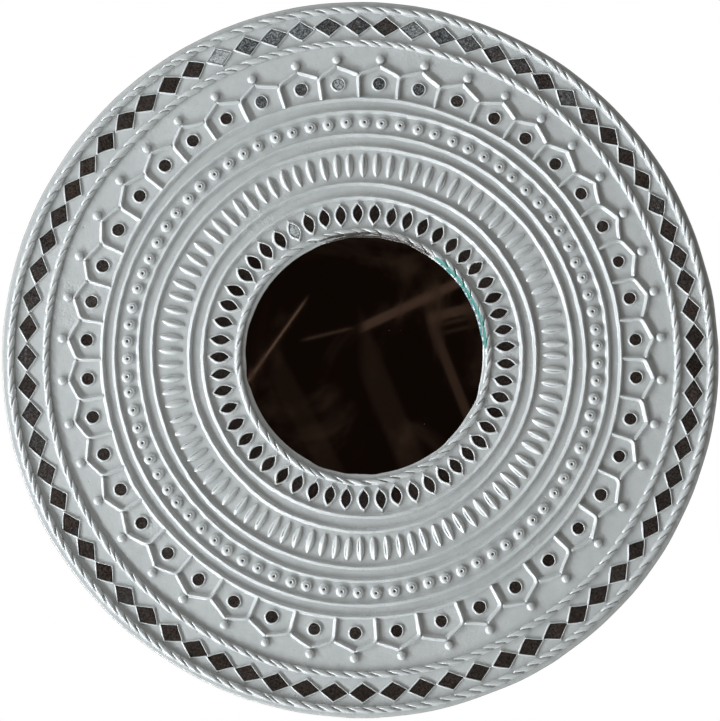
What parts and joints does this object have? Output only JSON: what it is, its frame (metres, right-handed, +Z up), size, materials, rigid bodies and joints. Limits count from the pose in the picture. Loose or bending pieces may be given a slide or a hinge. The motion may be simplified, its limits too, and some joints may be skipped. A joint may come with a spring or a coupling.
{
  "type": "mudwork wall mirror",
  "caption": "Round wall mirror: clay relief on a wooden disc with coils, ropes, petals, dots, cells and small mirror chips around a central mirror, hung by back rings.",
  "frame": {"origin": "middle of the plane of the felt pads' faces, which touch the wall", "axes": "+Y into the wall, out of the back; the mirror faces -Y; +Z up the wall; +X to the right of someone facing the mirror"},
  "size_m": [0.5999, 0.0285, 0.6],
  "materials": {
    "painted_clay": "hand-modelled clay under cool pale grey satin paint",
    "mirror_glass": "silvered float glass, dark because it mirrors a dark room",
    "chip_glass": "hand-cut silvered glass chips with paint round their edges",
    "board_wood": "bare fibreboard",
    "adhesive": "cured mirror adhesive",
    "felt": "pressed dark felt",
    "hanger_steel": "zinc-plated strap",
    "ring_steel": "zinc-plated wire",
    "screw_steel": "yellow-passivated zinc"
  },
  "bodies": {
    "panel": {"backing_board": "board_wood", "clay_ground": "painted_clay", "clay_lip": "painted_clay", "centre_mirror": "mirror_glass", "mirror_adhesive": "adhesive", "centre_rope": "painted_clay", "eye_mirrors": "chip_glass", "eye_inner_coil": "painted_clay", "eye_outer_coil": "painted_clay", "seed_petals": "painted_clay", "seed_outer_coil": "painted_clay", "dot_inner_coil": "painted_clay", "clay_dots": "painted_clay", "dot_outer_coil": "painted_clay", "cell_base_coil": "painted_clay", "cell_walls": "painted_clay", "cell_roofs": "painted_clay", "round_mirrors": "chip_glass", "tip_balls": "painted_clay", "band_rope": "painted_clay", "diamond_mirrors": "chip_glass", "outer_rope": "painted_clay", "felt_pads": "felt", "left_strap": "hanger_steel", "right_strap": "hanger_steel", "hanger_screws": "screw_steel"},
    "left_ring": {"left_ring": "ring_steel"},
    "right_ring": {"right_ring": "ring_steel"}
  },
  "joints": [
    {"name": "left_ring_turn", "type": "hinge", "parent": "panel", "child": "left_ring", "pos_m": [-0.165, -0.0034, 0.14], "axis": [1, 0, 0], "range_deg": [0, 180]},
    {"name": "right_ring_turn", "type": "hinge", "parent": "panel", "child": "right_ring", "pos_m": [0.165, -0.0034, 0.14], "axis": [1, 0, 0], "range_deg": [0, 180]}
  ]
}
